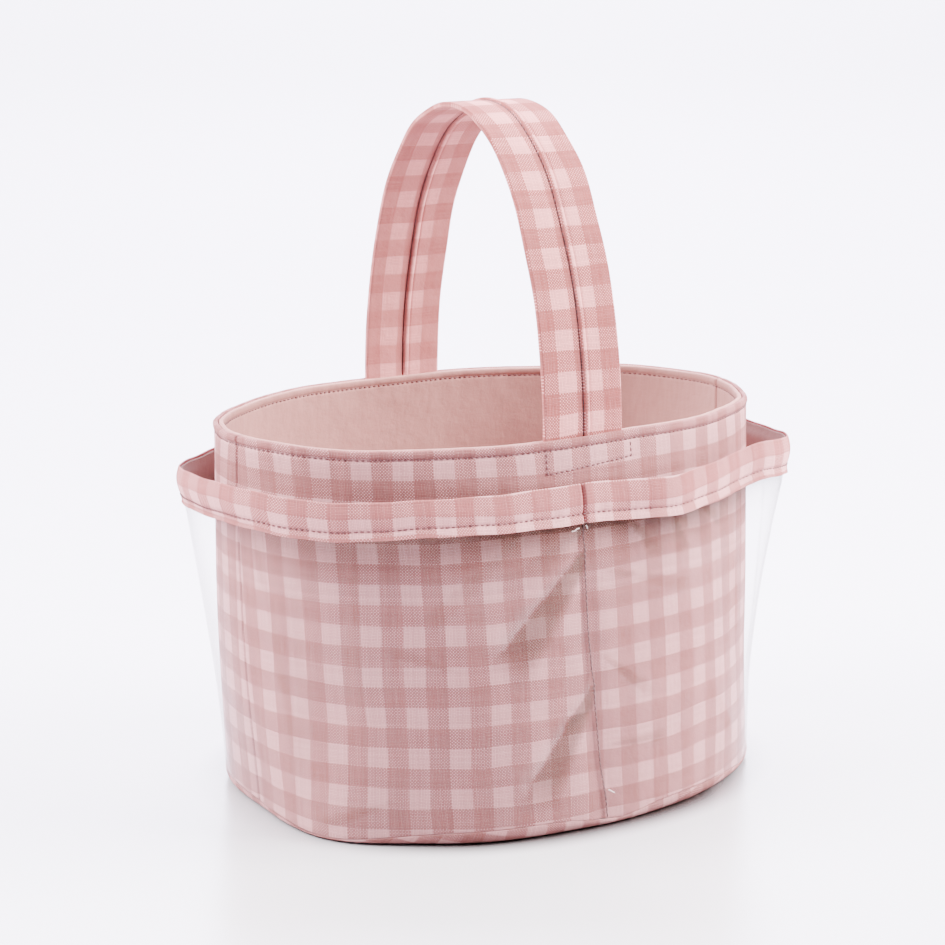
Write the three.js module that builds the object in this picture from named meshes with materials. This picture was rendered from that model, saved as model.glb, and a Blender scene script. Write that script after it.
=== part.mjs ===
// A soft diaper caddy: an open oval basket with padded walls of checked cloth, two clear pockets that
// wrap round its ends, and a flat strap handle that arches across the middle.
// Millimetres, +Z up, X along the basket's long axis. The origin is under the middle of the base.

import * as THREE from "three";

// Basket outline, on the outside of the wall cloth
const basketHeight = 192;
const rimHalfLength = 144;
const rimHalfWidth = 93;
const baseHalfLength = 137;
const baseHalfWidth = 113;
const wallSwell = 2;
const ovalPower = 2.2;

// Wall layers, from the outside in
const clothGap = 0.3;
const wallCloth = 1;
const foamThickness = 2.2;
const liningCloth = 0.8;
const hemDepth = 4.5;
const hemRamp = 3;
const hemCrownShare = 0.3;

// Base
const baseEdgeHeight = 8.5;
const baseEdgeRun = 5;
const baseCloth = 1;
const boardThickness = 2;

// Clear pockets and the checked band round their mouths
const sheetThickness = 0.6;
const bandHeight = 19;
const bandDrop = 21.5;
const bandCloth = 0.8;
const facingCloth = 0.7;
const pocketMouth = 14.5;
const pocketRoundness = 1.5;
const pocketForwardShare = 0.35;
const pocketHang = 1.7;

// Strap handle
const strapWidth = 44;
const strapCloth = 0.7;
const coreThickness = 1;
const coreMargin = 1.5;
const strapEdgeRadius = 0.8;
const lapWidth = 3;
const lapHeight = 0.6;
const handleRise = 153;
const tailDepth = 17;

// How finely round forms are divided
const ovalSteps = 48;
const archSteps = 32;
const edgeSteps = 4;
const bendSteps = 5;
const wallLevelShares = [0, 0.22, 0.44, 0.66, 0.86];
const closestStepShare = 0.35;

// The lap where one half of the strap is turned over the other: [across it, above the strap]
const lapShares = [
  [0.05, 0.6],
  [0.35, 1],
  [0.8, 0.8],
  [1, 0],
];

// Places worked out from the sizes above
const foamInset = wallCloth + clothGap;
const liningInset = foamInset + foamThickness + clothGap;
const wallThickness = liningInset + liningCloth;
const hemBottom = basketHeight - hemDepth;
const wallBottom = baseEdgeHeight + clothGap;
const sheetReach = clothGap + sheetThickness;
const boardBottom = baseCloth + clothGap;
const floorBottom = boardBottom + boardThickness + clothGap;
const floorTop = floorBottom + liningCloth;
const bandTop = basketHeight - bandDrop;
const bandBottom = bandTop - bandHeight;
const bandThickness = bandCloth + clothGap + sheetThickness + clothGap + facingCloth;
const strapThickness = strapCloth + clothGap + coreThickness + clothGap + strapCloth;
const strapHalf = strapWidth / 2;
const tailInset = foamInset + foamThickness / 2;
const tailBottom = basketHeight - tailDepth;
const archHalfSpan = rimHalfWidth - tailInset;
const bendHeight = strapHalf;

const fullTurn = 2 * Math.PI;
const quarterTurn = Math.PI / 2;

const blend = (from, to, share) => from + (to - from) * share;
const smooth = (share) => share * share * (3 - 2 * share);
const signedPower = (value, power) => Math.sign(value) * Math.abs(value) ** power;

// The oval

function halfLengthAt(z) {
  const share = z / basketHeight;
  return blend(baseHalfLength, rimHalfLength, share) + 4 * wallSwell * share * (1 - share);
}

function halfWidthAt(z) {
  const share = z / basketHeight;
  return blend(baseHalfWidth, rimHalfWidth, share) + 4 * wallSwell * share * (1 - share);
}

// A point at an angle round the wall, moved in from its outer face by inset
function ovalPoint(angle, inset, z) {
  const [a, b] = [halfLengthAt(z), halfWidthAt(z)];
  const [c, s] = [Math.cos(angle), Math.sin(angle)];
  const out = new THREE.Vector2(
    signedPower(c, 2 - 2 / ovalPower) / a,
    signedPower(s, 2 - 2 / ovalPower) / b,
  ).normalize();
  return new THREE.Vector3(
    a * signedPower(c, 2 / ovalPower) - out.x * inset,
    b * signedPower(s, 2 / ovalPower) - out.y * inset,
    z,
  );
}

const angleAtX = (x) => Math.acos(signedPower(x / rimHalfLength, ovalPower / 2));
const angleAtY = (y) => Math.asin(signedPower(y / rimHalfWidth, ovalPower / 2));

// Angles shared by every layer, so that their facets lie parallel, with extra ones beside the straps
const strapSide = strapHalf + clothGap;
const strapEdgeAngles = [-strapSide - hemRamp, -strapSide, strapSide, strapSide + hemRamp]
  .map(angleAtX)
  .flatMap((angle) => [angle, fullTurn - angle]);
const step = fullTurn / ovalSteps;
const evenAngles = Array.from({ length: ovalSteps }, (_, i) => i * step).filter((angle) =>
  strapEdgeAngles.every((edge) => Math.abs(edge - angle) > closestStepShare * step),
);
const ovalAngles = [...evenAngles, ...strapEdgeAngles].sort((p, q) => p - q);

function anglesBetween(from, to) {
  const turns = [-fullTurn, 0, fullTurn].flatMap((turn) => ovalAngles.map((angle) => angle + turn));
  const room = closestStepShare * step;
  return [from, ...turns.filter((angle) => angle > from + room && angle < to - room), to];
}

const sideSeam = angleAtY(clothGap / 2);
const middleSeam = angleAtX(clothGap / 2);
const halves = {
  front: anglesBetween(Math.PI + sideSeam, fullTurn - sideSeam),
  back: anglesBetween(sideSeam, Math.PI - sideSeam),
  left: anglesBetween(Math.PI - middleSeam, Math.PI + middleSeam),
  right: anglesBetween(-middleSeam, middleSeam),
};

// 1 where a strap end passes between the wall's layers, 0 elsewhere
function strapHere(angle) {
  const x = Math.abs(ovalPoint(angle, 0, basketHeight).x);
  return x < strapSide + hemRamp / 2 ? 1 : 0;
}

// Closed surfaces

const signedArea = (points) => THREE.ShapeUtils.area(points);
const seenFromAbove = (p) => new THREE.Vector2(p.x, p.y);
const seenFromSide = (p) => new THREE.Vector2(Math.hypot(p.x, p.y), p.z);

// Turns the faces outwards if they point in
function solid(points, faces) {
  const volume = faces.reduce((sum, [a, b, c]) => {
    const cross = new THREE.Vector3().crossVectors(points[b], points[c]);
    return sum + points[a].dot(cross);
  }, 0);
  const turned = volume < 0 ? faces.map(([a, b, c]) => [a, c, b]) : faces;
  const geometry = new THREE.BufferGeometry().setFromPoints(points);
  geometry.setIndex(turned.flat());
  geometry.computeVertexNormals();
  return geometry;
}

// Fills the outline that a row of points makes, seen flat, with triangles that turn the way it does
function filled(row, flatten) {
  const outline = row.map(flatten);
  const way = Math.sign(signedArea(outline));
  return THREE.ShapeUtils.triangulateShape(outline, []).map((triangle) => {
    const same = Math.sign(signedArea(triangle.map((k) => outline[k]))) === way;
    return same ? triangle : [...triangle].reverse();
  });
}

// Joins rows of points, which go once round a section each, into one skin. Rows that come back to
// the first make a ring, and a row of any other run is filled in at each end.
function skin(rows, flatten, closed) {
  const count = rows[0].length;
  const at = (row, j) => (row % rows.length) * count + (j % count);
  const faces = [];
  for (let i = 0; i < rows.length - (closed ? 0 : 1); i += 1) {
    for (let j = 0; j < count; j += 1) {
      faces.push([at(i, j), at(i, j + 1), at(i + 1, j + 1)]);
      faces.push([at(i, j), at(i + 1, j + 1), at(i + 1, j)]);
    }
  }
  if (!closed) {
    const last = rows.length - 1;
    faces.push(...filled(rows[0], flatten).map(([a, b, c]) => [at(0, a), at(0, c), at(0, b)]));
    faces.push(...filled(rows[last], flatten).map(([a, b, c]) => [at(last, a), at(last, b), at(last, c)]));
  }
  return solid(rows.flat(), faces);
}

// A strip of wall with the section that sectionAt gives, as [inset, z] points, at each angle
function ovalStrip(angles, sectionAt, closed = false) {
  const rows = angles.map((angle) => sectionAt(angle).map(([inset, z]) => ovalPoint(angle, inset, z)));
  return skin(rows, seenFromSide, closed);
}

// An oval dish or plate. Its profile of [inset, z] points runs from under its middle to above it.
function ovalPlate(profile) {
  const count = profile.length;
  const points = ovalAngles.flatMap((angle) => profile.map(([inset, z]) => ovalPoint(angle, inset, z)));
  const under = points.push(new THREE.Vector3(0, 0, profile[0][1])) - 1;
  const above = points.push(new THREE.Vector3(0, 0, profile[count - 1][1])) - 1;
  const faces = [];
  ovalAngles.forEach((_, i) => {
    const here = i * count;
    const next = ((i + 1) % ovalAngles.length) * count;
    faces.push([under, next, here]);
    for (let j = 0; j < count - 1; j += 1) {
      faces.push([here + j, next + j, next + j + 1]);
      faces.push([here + j, next + j + 1, here + j + 1]);
    }
    faces.push([above, here + count - 1, next + count - 1]);
  });
  return solid(points, faces);
}

// Base: a cloth dish that turns up to the wall seam, a stiff board in it, and the lining's floor

function baseDish() {
  const outer = [];
  const inner = [];
  for (let i = 0; i <= edgeSteps; i += 1) {
    const turn = (i / edgeSteps) * quarterTurn;
    const run = baseEdgeRun * (1 - Math.cos(turn)) - sheetReach;
    const cloth = blend(sheetReach + wallCloth, baseCloth, Math.sin(turn));
    outer.unshift([run, baseEdgeHeight * (1 - Math.sin(turn))]);
    inner.push([run + cloth, blend(baseEdgeHeight, baseCloth, Math.sin(turn))]);
  }
  return ovalPlate([...outer, ...inner]);
}

function flatPlate(inset, bottom, thickness) {
  return ovalPlate([
    [inset, bottom],
    [inset, bottom + thickness],
  ]);
}

// Wall layers

// Heights shared by every layer, so that their facets lie parallel
const wallLevels = wallLevelShares.map((share) => blend(wallBottom, hemBottom, share));

// The cloth's top edge is turned in to form the rim, but lies flat where a strap end passes
function outerSection(angle) {
  const turnedIn = (wallThickness - clothGap) / 2;
  const hemInset = strapHere(angle) ? wallCloth : turnedIn;
  const crown = hemCrownShare * wallCloth;
  return [
    ...wallLevels.map((z) => [0, z]),
    [0, basketHeight - crown],
    [crown, basketHeight],
    [hemInset, basketHeight],
    [hemInset, hemBottom],
    [wallCloth, hemBottom - clothGap],
    ...[...wallLevels].reverse().map((z) => [wallCloth, z]),
  ];
}

function foamSection(angle) {
  const top = strapHere(angle) ? tailBottom - clothGap : hemBottom - 2 * clothGap;
  return [
    ...wallLevels.map((z) => [foamInset, z]),
    [foamInset, top],
    [foamInset + foamThickness, top],
    ...[...wallLevels].reverse().map((z) => [foamInset + foamThickness, z]),
  ];
}

function liningSection(angle) {
  const turnedIn = (wallThickness + clothGap) / 2;
  const hemInset = strapHere(angle) ? liningInset : turnedIn;
  const crown = hemCrownShare * liningCloth;
  const heights = [floorTop + clothGap, ...wallLevels];
  return [
    ...heights.map((z) => [liningInset, z]),
    [liningInset, hemBottom - clothGap],
    [hemInset, hemBottom],
    [hemInset, basketHeight],
    [wallThickness - crown, basketHeight],
    [wallThickness, basketHeight - crown],
    [wallThickness, hemBottom],
    ...[...heights].reverse().map((z) => [wallThickness, z]),
  ];
}

// Pockets. Their reach is measured out from the wall: least at the middle seams, most at the ends,
// and fuller towards the front than towards the back.

function bandReach(angle) {
  const least = bandThickness + clothGap;
  const fullness = 1 - pocketForwardShare * Math.sin(angle);
  return least + pocketMouth * fullness * Math.abs(Math.cos(angle)) ** pocketRoundness;
}

// The clear sheet hangs in from the band to the base seam and runs up inside the band
function sheetSection(angle) {
  const sheetTop = bandTop - bandCloth - clothGap;
  const mouth = bandReach(angle) - bandCloth - clothGap;
  const share = (z) => (z - wallBottom) / (bandBottom - wallBottom);
  const heights = [...wallLevels.filter((z) => z < bandBottom), bandBottom];
  const outer = heights.map((z) => [-blend(sheetReach, mouth, share(z) ** pocketHang), z]);
  outer.push([-mouth, sheetTop]);
  const inner = outer.map(([inset, z]) => [inset + sheetThickness, z]).reverse();
  return [...outer, ...inner];
}

function bandSection(angle) {
  const outer = -bandReach(angle);
  const inner = outer + bandThickness;
  const crown = hemCrownShare * bandCloth;
  return [
    [outer, bandBottom],
    [outer, bandTop - crown],
    [outer + crown, bandTop],
    [inner, bandTop],
    [inner, bandTop - bandCloth],
    [outer + bandCloth, bandTop - bandCloth],
    [outer + bandCloth, bandBottom],
  ];
}

function facingSection(angle) {
  const inner = -bandReach(angle) + bandThickness;
  const top = bandTop - bandCloth - clothGap;
  return [
    [inner, bandBottom],
    [inner, top],
    [inner - facingCloth, top],
    [inner - facingCloth, bandBottom],
  ];
}

// Strap. Outlines are [across, out]: across the strap along X, and out from the arch.

const half = strapThickness / 2;
const lap = lapShares.map(([across, above]) => [across * lapWidth, half + above * lapHeight]);

const vectors = (points) => points.map(([x, y]) => new THREE.Vector2(x, y));
const mirrored = (points) => points.map(([x, y]) => [x, -y]).reverse();

// One half of the strap's cover: a strip folded round the strap's edge, open towards the middle.
// The right strip is lapped over the left along the middle, on both faces.
function coverOutline(side, top) {
  const edge = strapHalf;
  const corner = strapEdgeRadius;
  const outside = [...top, [edge - corner, half], [edge, half - corner]];
  const inside = [
    [edge - strapCloth, half - strapCloth - clothGap / 2],
    [edge - strapCloth - clothGap, half - strapCloth],
    [clothGap / 2, half - strapCloth],
  ];
  const points = [...outside, ...mirrored(outside), ...mirrored(inside), ...inside];
  return vectors(points.map(([x, y]) => [side * x, y]));
}

const leftOutline = coverOutline(-1, [[clothGap / 2, half]]);
const rightOutline = coverOutline(1, [[clothGap / 2, half], ...lap]);
const coreHalf = strapHalf - strapCloth - clothGap - coreMargin;
const coreOutline = vectors([
  [-coreHalf, -coreThickness / 2],
  [coreHalf, -coreThickness / 2],
  [coreHalf, coreThickness / 2],
  [-coreHalf, coreThickness / 2],
]);

// The whole strap in one piece, with its groove and lap, for the ends that are pressed and sewn
const groove = [
  [-clothGap / 2, half],
  [0, half - strapCloth],
];
const strapTop = [
  [-strapHalf, half - strapEdgeRadius],
  [-strapHalf + strapEdgeRadius, half],
  ...groove,
  ...lap,
  [strapHalf - strapEdgeRadius, half],
  [strapHalf, half - strapEdgeRadius],
];
const strapOutline = vectors([...strapTop, ...mirrored(strapTop)]);

// A point of the strap on the arch, which is half an ellipse standing on the rim, at turn from the back
function archPoint(turn, across, out) {
  const normal = new THREE.Vector2(handleRise * Math.cos(turn), archHalfSpan * Math.sin(turn)).normalize();
  return new THREE.Vector3(
    across,
    archHalfSpan * Math.cos(turn) + normal.x * out,
    basketHeight + handleRise * Math.sin(turn) + normal.y * out,
  );
}

// A point of the strap where it is pressed between the wall's layers
function wallPoint(side, across, out, z) {
  const along = Math.abs(across / halfLengthAt(z)) ** ovalPower;
  const wall = halfWidthAt(z) * (1 - along) ** (1 / ovalPower);
  const flat = Math.max(-half, Math.min(half, out));
  return new THREE.Vector3(across, side * (wall - tailInset + (flat * foamThickness) / strapThickness), z);
}

const bendTurn = Math.asin(bendHeight / handleRise);
const gapTurn = clothGap / 2 / handleRise;

function alongArch(outline) {
  const rows = [];
  for (let i = 0; i <= archSteps; i += 1) {
    const turn = blend(bendTurn + gapTurn, Math.PI - bendTurn - gapTurn, i / archSteps);
    rows.push(outline.map((p) => archPoint(turn, p.x, p.y)));
  }
  return skin(rows, seenFromAbove, false);
}

// The stretch just above the rim, where the strap bends when the handle is tipped over
function strapBend(side) {
  const turn = side > 0 ? bendTurn - gapTurn : Math.PI - bendTurn + gapTurn;
  const rows = [];
  for (let i = 0; i <= bendSteps; i += 1) {
    const share = i / bendSteps;
    rows.push(
      strapOutline.map((p) => {
        const top = archPoint(turn, p.x, p.y);
        const z = blend(basketHeight + clothGap / 2, top.z, share);
        const low = wallPoint(side, p.x, p.y, basketHeight);
        const y = blend(low.y, top.y, smooth(share));
        return new THREE.Vector3(p.x, y, z);
      }),
    );
  }
  return skin(rows, seenFromAbove, false);
}

// The strap's end, sewn flat between the wall's layers
function strapTail(side) {
  const heights = [tailBottom, hemBottom, basketHeight - clothGap / 2];
  const rows = heights.map((z) => strapOutline.map((p) => wallPoint(side, p.x, p.y, z)));
  return skin(rows, seenFromAbove, false);
}

// Materials

const gingham = new THREE.MeshStandardMaterial({ color: 0xdcb0b0, roughness: 0.9, metalness: 0 });
const plainPink = new THREE.MeshStandardMaterial({ color: 0xc99a98, roughness: 0.92, metalness: 0 });
const foam = new THREE.MeshStandardMaterial({ color: 0xf3f1ee, roughness: 1, metalness: 0 });
const board = new THREE.MeshStandardMaterial({ color: 0xd8d5d0, roughness: 0.7, metalness: 0 });
const webbing = new THREE.MeshStandardMaterial({ color: 0xe9e4df, roughness: 0.95, metalness: 0 });
const clearVinyl = new THREE.MeshStandardMaterial({
  color: 0xf4f5f8,
  roughness: 0.12,
  metalness: 0,
  transparent: true,
  opacity: 0.25,
});

const caddy = new THREE.Group();

function add(name, geometry, material) {
  const mesh = new THREE.Mesh(geometry, material);
  mesh.name = name;
  caddy.add(mesh);
}

add("base_panel", baseDish(), gingham);
add("base_board", flatPlate(baseEdgeRun + clothGap, boardBottom, boardThickness), board);
add("base_lining", flatPlate(liningInset, floorBottom, liningCloth), plainPink);
add("wall_padding", ovalStrip(ovalAngles, foamSection, true), foam);
for (const side of ["front", "back"]) {
  add(`wall_outer_${side}`, ovalStrip(halves[side], outerSection), gingham);
  add(`wall_lining_${side}`, ovalStrip(halves[side], liningSection), plainPink);
}
for (const side of ["left", "right"]) {
  add(`pocket_sheet_${side}`, ovalStrip(halves[side], sheetSection), clearVinyl);
  add(`pocket_band_${side}`, ovalStrip(halves[side], bandSection), gingham);
  add(`pocket_facing_${side}`, ovalStrip(halves[side], facingSection), plainPink);
}
for (const [side, way] of [["front", -1], ["back", 1]]) {
  add(`handle_tail_${side}`, strapTail(way), gingham);
  add(`handle_bend_${side}`, strapBend(way), gingham);
}
add("handle_cover_left", alongArch(leftOutline), gingham);
add("handle_cover_right", alongArch(rightOutline), gingham);
add("handle_core", alongArch(coreOutline), webbing);

export default caddy;
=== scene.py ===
import math

import bpy
import numpy as np
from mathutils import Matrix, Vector


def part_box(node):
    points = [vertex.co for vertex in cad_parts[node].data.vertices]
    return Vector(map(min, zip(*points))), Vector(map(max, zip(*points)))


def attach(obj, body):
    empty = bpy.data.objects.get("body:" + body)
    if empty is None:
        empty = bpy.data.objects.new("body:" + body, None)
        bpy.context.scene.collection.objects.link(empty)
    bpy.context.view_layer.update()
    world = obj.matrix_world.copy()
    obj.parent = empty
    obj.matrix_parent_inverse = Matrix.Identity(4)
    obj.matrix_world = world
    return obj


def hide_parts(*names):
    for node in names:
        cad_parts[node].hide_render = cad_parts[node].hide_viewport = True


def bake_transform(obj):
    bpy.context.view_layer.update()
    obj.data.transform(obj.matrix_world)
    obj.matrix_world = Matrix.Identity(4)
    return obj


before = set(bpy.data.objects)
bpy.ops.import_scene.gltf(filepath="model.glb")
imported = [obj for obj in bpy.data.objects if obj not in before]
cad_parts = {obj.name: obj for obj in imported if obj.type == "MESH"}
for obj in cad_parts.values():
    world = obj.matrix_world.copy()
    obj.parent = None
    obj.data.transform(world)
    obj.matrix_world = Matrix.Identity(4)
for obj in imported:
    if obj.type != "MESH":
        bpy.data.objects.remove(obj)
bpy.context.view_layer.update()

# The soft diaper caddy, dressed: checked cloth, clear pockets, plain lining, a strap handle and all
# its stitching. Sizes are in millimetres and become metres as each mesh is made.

MM = 0.001

# Basket outline, on the outside of the wall cloth
BASKET_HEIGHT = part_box("wall_outer_front")[1][2] / MM
RIM_HALF_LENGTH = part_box("wall_outer_front")[1][0] / MM
RIM_HALF_WIDTH = 93
BASE_HALF_LENGTH = 137
BASE_HALF_WIDTH = 113
WALL_SWELL = 2
OVAL_POWER = 2.2

# Layers
GAP = 0.3
WALL_CLOTH = 1
PADDING = 2.2
LINING_CLOTH = 0.8
LINING_INSET = WALL_CLOTH + GAP + PADDING + GAP
WALL_THICKNESS = LINING_INSET + LINING_CLOTH
HEM_DEPTH = 4.5
HEM_BOTTOM = BASKET_HEIGHT - HEM_DEPTH
WALL_BOTTOM = 8.8
FLOOR_TOP = 4.4
BOARD_TOP = 3.3

# Pockets
BAND_TOP = 170.5
BAND_BOTTOM = 151.5
BAND_THICKNESS = 2.7
POCKET_MOUTH = 14.5
POCKET_ROUNDNESS = 1.5
POCKET_FORWARD = 0.35
POCKET_HANG = 1.7
BAND_STITCH = BAND_BOTTOM + 4.3
VINYL_THICKNESS = 0.5
VINYL_REACH = 0.9

# Strap
STRAP_HALF = 22
STRAP_THICKNESS = 3
HANDLE_RISE = 153
TAIL_BOTTOM = 175
TAIL_INSET = WALL_CLOTH + GAP + PADDING / 2
LAP = 3

# Sewing. Some rows have a longer stitch or another thickness of thread than the plain ones
STITCH_PITCH = 2.9
STITCH_LENGTH = 2.2
THREAD_RADIUS = 0.31
DIVIDER_STITCH = {"length": 2.75, "radius": THREAD_RADIUS * 1.25}
BOX_STITCH = {"length": 2.5, "radius": THREAD_RADIUS * 1.15}
LAP_STITCH = {"length": 2.6, "radius": THREAD_RADIUS * 0.6}
JOIN_STITCH = {"length": STITCH_PITCH * 0.97, "radius": THREAD_RADIUS * 0.9}

# The checks: one dark and one light stripe each way make a repeat
REPEAT = 20

FRONT = 1.5 * math.pi
BACK = 0.5 * math.pi

# Waves round the basket: the height of each, how many go round, where they start, and how far they
# turn for each millimetre up
WALL_WAVES = ((0.6, 3, 0.4, 0), (0.45, 7, 2.1, 1 / 60), (0.3, 13, 0, 1 / 35), (0.16, 29, 0, -1 / 22))
RIM_WAVES = ((0.25, 11, 1, 0), (0.16, 23, 0, 0), (0.1, 61, 0.7, 0), (0.08, 97, 2, 0))
RIM_RISES = ((0.5, 4, 0.5, 0), (0.35, 9, 2, 0))
BAND_WAVES = ((0.25, 11, 0.4, 0), (0.15, 31, 0, 0))
BAND_PUCKERS = ((0.12, 83, 1, 0), (0.1, 127, 0, 0))

# Hills round the basket: the place of each in degrees from the right end, with the front's middle at
# 270, then its height in millimetres and its width in radians
FOOT_DROPS = ((207, 5.6, 0.37), (273, 3.8, 0.13), (322, 3.4, 0.25), (70, 2.4, 0.4))
FOOT_BULGES = ((212, 4.6, 0.24), (182, -1.5, 0.2), (247, 2, 0.25), (334, 3, 0.3))
BAND_BULGES = ((333, 4.5, 0.24), (163, 2.2, 0.25), (285, 3.6, 0.12), (309, -3.5, 0.16))
BAND_RISES = ((188, 3.5, 0.33), (317, 3.8, 0.19), (354, -3, 0.32), (145, -2.3, 0.3), (286, -1, 0.16))
BAND_TUCK = ((238, 1.8, 0.35),)


def bell(value, centre, width):
    return np.exp(-(((value - centre) / width) ** 2))


def ramp(value, low, high):
    share = np.clip((value - low) / (high - low), 0, 1)
    return share * share * (3 - 2 * share)


def mixed(low, high, share):
    return low + (high - low) * share


def waves(angle, rows, z=0):
    return sum(height * np.sin(count * angle + start + turn * z) for height, count, start, turn in rows)


# The oval

def signed_power(value, power):
    return np.sign(value) * np.abs(value) ** power


def oval(angle, inset, z):
    """Points at angles round the basket, moved in from the wall's outer face by inset."""
    angle, inset, z = np.broadcast_arrays(angle, inset, z)
    share = z / BASKET_HEIGHT
    swell = 4 * WALL_SWELL * share * (1 - share)
    half_length = mixed(BASE_HALF_LENGTH, RIM_HALF_LENGTH, share) + swell
    half_width = mixed(BASE_HALF_WIDTH, RIM_HALF_WIDTH, share) + swell
    cosine, sine = np.cos(angle), np.sin(angle)
    out_x = signed_power(cosine, 2 - 2 / OVAL_POWER) / half_length
    out_y = signed_power(sine, 2 - 2 / OVAL_POWER) / half_width
    size = np.hypot(out_x, out_y)
    x = half_length * signed_power(cosine, 2 / OVAL_POWER) - out_x / size * inset
    y = half_width * signed_power(sine, 2 / OVAL_POWER) - out_y / size * inset
    return np.stack([x, y, z], -1)


def apart(angle, place):
    """How far an angle is from a place round the basket, the short way."""
    return np.angle(np.exp(1j * (angle - place)))


def hills(angle, rows):
    return sum(height * bell(apart(angle, math.radians(place)), 0, width) for place, height, width in rows)


def angle_off_middle(x):
    """How far round from the front or back middle the rim is when it is x to the side."""
    return np.arcsin(signed_power(x / RIM_HALF_LENGTH, OVAL_POWER / 2))


def cloth_lumps(angle, z):
    """How far the soft wall stands out of its even form."""
    middle = np.sin(math.pi * np.clip(z / BASKET_HEIGHT, 0, 1))
    near_rim = ramp(z, BAND_TOP, BASKET_HEIGHT)
    return waves(angle, WALL_WAVES, z) * middle + waves(angle, RIM_WAVES) * near_rim


def rim_rise(angle, z):
    """How far the rim dips and rises along its length."""
    return waves(angle, RIM_RISES) * (z / BASKET_HEIGHT) ** 4


# The box of stitches that holds each end of the strap
BOX_LEFT = -22
BOX_RIGHT = 26.5
BOX_LEFT_BOTTOM = 176.2
BOX_RIGHT_BOTTOM = 179.4
TAIL_SWELL = 0.45
TAIL_SHOWS_PAST = 1.5
TAIL_SHOWS_OVER = 2.5
TAIL_EASE = 1
GROOVE_WIDTH = 0.8
SIDE_GROOVE_WIDTH = 1.3
SIDE_GROOVE_SHARE = 0.7


def box_bottom(x):
    return mixed(BOX_LEFT_BOTTOM, BOX_RIGHT_BOTTOM, (x - BOX_LEFT) / (BOX_RIGHT - BOX_LEFT))


def strap_end_swell(x, z):
    """How far the cloth is pushed out over the strap's end, and drawn in along the box of stitches."""
    over = ramp(STRAP_HALF + TAIL_SHOWS_PAST - np.abs(x), 0, TAIL_SHOWS_OVER)
    over = over * ramp(z, TAIL_BOTTOM - TAIL_EASE, TAIL_BOTTOM + TAIL_EASE)
    inside_box = (x > BOX_LEFT - TAIL_EASE) & (x < BOX_RIGHT + TAIL_EASE)
    groove = np.where(inside_box, bell(z, box_bottom(x), GROOVE_WIDTH), 0)
    for edge in (BOX_LEFT, BOX_RIGHT):
        side = SIDE_GROOVE_SHARE * bell(x, edge, SIDE_GROOVE_WIDTH) * (z > box_bottom(x))
        groove = np.maximum(groove, side)
    return TAIL_SWELL * (over - groove)


# The foot settles and bulges, less and less up to these heights
LEAST_FOOT_DROP = 1.5
FOOT_DROP_TOP = 60
FOOT_BULGE_TOP = 70


def foot_drop(angle):
    """How far the base seam lies below its even height, as the soft foot settles."""
    return LEAST_FOOT_DROP + hills(angle, FOOT_DROPS)


def settled(angle, z):
    """The height that a height on the even wall comes down to."""
    return z - foot_drop(angle) * (1 - ramp(z, WALL_BOTTOM, FOOT_DROP_TOP))


def foot_spread(angle, z):
    """How far the foot of the outer layers bulges outward as it settles."""
    return hills(angle, FOOT_BULGES) * (1 - ramp(z, 0, FOOT_BULGE_TOP))


# The seam between the pockets at the front wanders: its places across at some heights
SEAM_HEIGHTS = (0, 18, 34, 75, 100, 150)
SEAM_PLACES = (3, 2, -1, -3.7, -5, -5)
VALLEY_DEPTH = 0.9
VALLEY_WIDTH = 0.035
VALLEY_TOP = BAND_BOTTOM + 4
VALLEY_RUN = 12

# The share of the cloth's swelling over the strap's end that shows inside the basket
INSIDE_SWELL = 0.6


def seam_lean(z):
    """How far round the front seam between the pockets is from the middle."""
    return angle_off_middle(np.interp(z, SEAM_HEIGHTS, SEAM_PLACES))


def seam_valley(angle, z):
    """How far the outer layers are drawn in along the seam between the pockets."""
    front = bell(apart(angle, FRONT + seam_lean(z)), 0, VALLEY_WIDTH)
    back = bell(apart(angle, BACK), 0, VALLEY_WIDTH)
    return VALLEY_DEPTH * (front + back) * ramp(VALLEY_TOP - z, 0, VALLEY_RUN)


def wall(angle, inset, z):
    """Points of the wall's layers as they really lie, uneven and bulging at the foot."""
    angle, inset, z = np.broadcast_arrays(angle, inset, z)
    x = oval(angle, 0, z)[..., 0]
    front_x = np.where(np.sin(angle) < 0, x, -x)
    is_outer = inset < WALL_THICKNESS / 2
    swell_share = np.where(is_outer, 1, -INSIDE_SWELL)
    out = cloth_lumps(angle, z) + swell_share * strap_end_swell(front_x, z)
    out = out + is_outer * (foot_spread(angle, z) - seam_valley(angle, z))
    points = oval(angle, inset - out, z)
    points[..., 2] += rim_rise(angle, z)
    return points


# Meshes

def unit(vectors):
    return vectors / np.linalg.norm(vectors, axis=-1, keepdims=True)


def volume_of(points, faces):
    total = 0
    for count in {len(face) for face in faces}:
        corners = points[np.array([face for face in faces if len(face) == count])]
        for k in range(1, count - 1):
            cross = np.cross(corners[:, k], corners[:, k + 1])
            total += float((corners[:, 0] * cross).sum())
    return total


# Where two faces meet at more than this angle, the edge is drawn sharp
SHARP_ANGLE = math.radians(60)


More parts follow.
